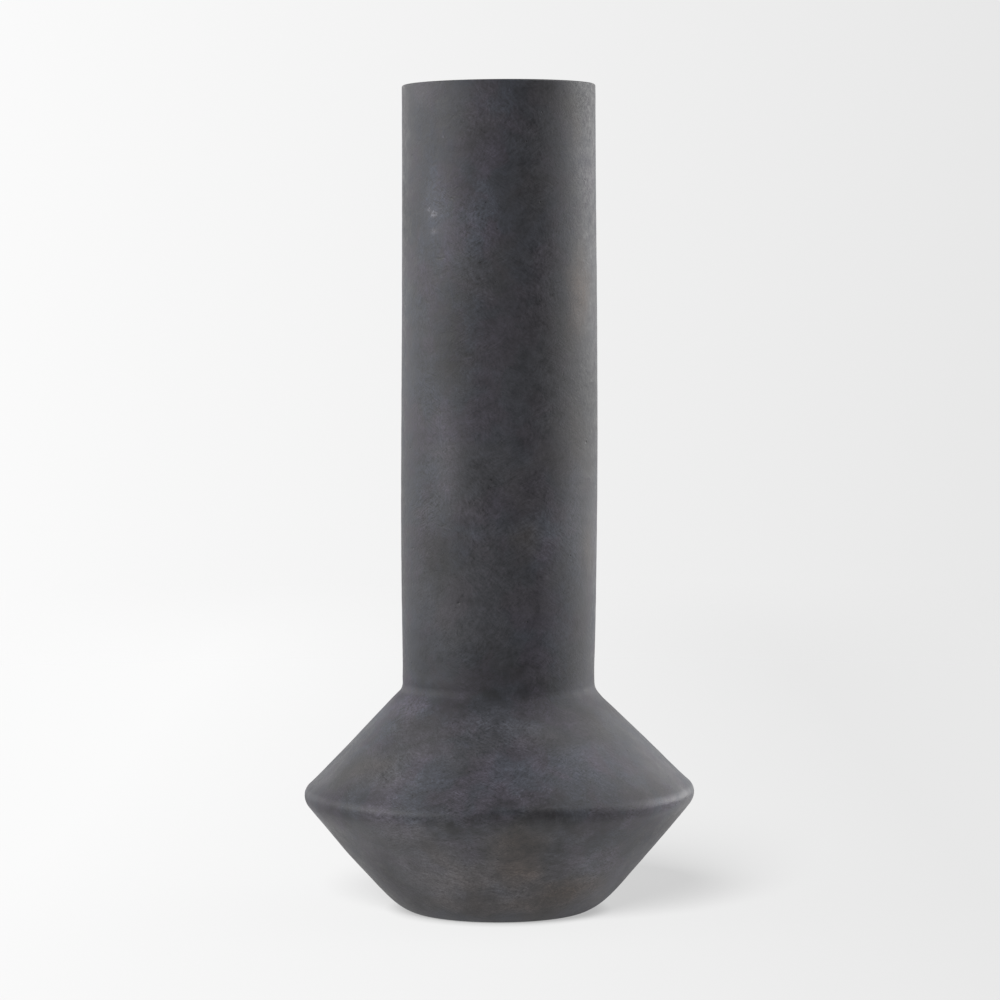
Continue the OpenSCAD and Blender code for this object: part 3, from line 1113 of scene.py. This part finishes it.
def add_floor():
    """A round sheet of paper, in rings so that its faces have sensible shapes."""
    turns = [2 * math.pi * k / FLOOR_SIDES for k in range(FLOOR_SIDES)]
    verts = [(0, 0, 0)]
    rows = [[0]]
    for r in FLOOR_RINGS:
        rows.append(list(range(len(verts), len(verts) + FLOOR_SIDES)))
        verts += [(r * math.cos(a), r * math.sin(a), 0) for a in turns]
    faces = [face[::-1] for low, high in zip(rows, rows[1:]) for face in band(low, high)]
    mesh = bpy.data.meshes.new("floor")
    mesh.from_pydata(verts, [], faces)
    obj = bpy.data.objects.new("floor", mesh)
    bpy.context.scene.collection.objects.link(obj)
    mesh.materials.append(floor_material())
    return obj


# ---------------------------------------------------------------- light
# Softboxes, each as (azimuth from the front towards +X, elevation, strength). The brightest stand at the
# left in front and at the right behind
SOFTBOXES = (
    (0, 4, 1.1),
    (90, 4, 1.7),
    (120, 4, 2.8),
    (150, 4, 0.8),
    (210, 4, 0.95),
    (240, 4, 1.4),
    (270, 4, 2.0),
    (300, 4, 3.5),
    (120, 28, 0.85),
    (90, 55, 1.8),
    (270, 55, 1.6),
)
# How quickly a softbox fades away from its middle
SOFTBOX_EDGE = 10.0
# A wide sun that lights only the floor, so that the body's shadow falls to the right and behind
SUN_AZIMUTH = 343
SUN_ELEVATION = 30
SUN_SPREAD = 28
SUN_STRENGTH = 40.0


def towards(azimuth, elevation):
    a, e = math.radians(azimuth), math.radians(elevation)
    return Vector((math.sin(a) * math.cos(e), -math.cos(a) * math.cos(e), math.sin(e)))


def softbox_light(t, direction):
    total = 0.0
    for azimuth, elevation, strength in SOFTBOXES:
        facing = t.vector("DOT_PRODUCT", direction, towards(azimuth, elevation))
        lobe = t.math("EXPONENT", t.math("MULTIPLY_ADD", facing, SOFTBOX_EDGE, -SOFTBOX_EDGE))
        total = t.math("MULTIPLY_ADD", lobe, strength, total)
    return total


def add_world():
    """Softboxes above the horizon and the dim room below it, where the camera itself sees pale paper."""
    world = bpy.data.worlds.new("studio")
    bpy.context.scene.world = world
    world.use_nodes = True
    t = Tree(world.node_tree)
    direction = t.node("ShaderNodeTexCoord").outputs["Generated"]
    parts = t.parts(direction)
    above = t.ramp(parts["Z"], *HORIZON)
    high = t.math("MULTIPLY", softbox_light(t, direction), above)
    dim = dimmed(t, PAPER_MID, room_shade(t, direction, LEFT_FAR_DARK))
    low = t.math("MULTIPLY", dim, t.math("SUBTRACT", 1.0, above))
    room = t.math("ADD", high, low)
    paper = paper_brightness(t, parts["X"], PAPER_MID)
    camera_ray = t.node("ShaderNodeLightPath").outputs["Is Camera Ray"]
    seen = t.math("MULTIPLY_ADD", camera_ray, t.math("SUBTRACT", paper, room), room)
    background = t.node("ShaderNodeBackground", {"Color": WHITE, "Strength": seen})
    t.node("ShaderNodeOutputWorld", {"Surface": background.outputs[0]})


def collection_of(name, objects):
    collection = bpy.data.collections.new(name)
    for obj in objects:
        collection.objects.link(obj)
    return collection


def add_floor_sun(floor, body):
    """The sun that lights only the floor, and that only the given pieces of the vase block."""
    data = bpy.data.lights.new("floor_sun", "SUN")
    data.energy = SUN_STRENGTH
    data.angle = math.radians(SUN_SPREAD)
    sun = bpy.data.objects.new("floor_sun", data)
    bpy.context.scene.collection.objects.link(sun)
    sun.rotation_euler = towards(SUN_AZIMUTH, SUN_ELEVATION).to_track_quat("Z", "Y").to_euler()
    sun.light_linking.receiver_collection = collection_of("lit_floor", [floor])
    sun.light_linking.blocker_collection = collection_of("shades_floor", body)


# ---------------------------------------------------------------- camera
# The photograph's point of view. The focal length is in widths of the picture
CAMERA_DISTANCE = 1.9678
CAMERA_HEIGHT = 0.3254
CAMERA_SIDE = 0.00065
CAMERA_PITCH = math.radians(2.935)
FOCAL_IN_FRAMES = 3.609
SENSOR = 36.0
CLIP = (0.05, 60)


def add_camera():
    data = bpy.data.cameras.new("camera")
    camera = bpy.data.objects.new("camera", data)
    bpy.context.scene.collection.objects.link(camera)
    data.sensor_width = SENSOR
    data.lens = SENSOR * FOCAL_IN_FRAMES
    data.clip_start, data.clip_end = CLIP
    camera.location = (CAMERA_SIDE, -CAMERA_DISTANCE, CAMERA_HEIGHT)
    camera.rotation_euler = (math.pi / 2 - CAMERA_PITCH, 0, 0)
    bpy.context.scene.camera = camera


bpy.context.scene.view_settings.view_transform = "Standard"
bpy.context.scene.view_settings.look = "None"
floor = add_floor()
add_world()
add_floor_sun(floor, [made[node] for node in ("base", "lower_body", "shoulder")])
add_camera()
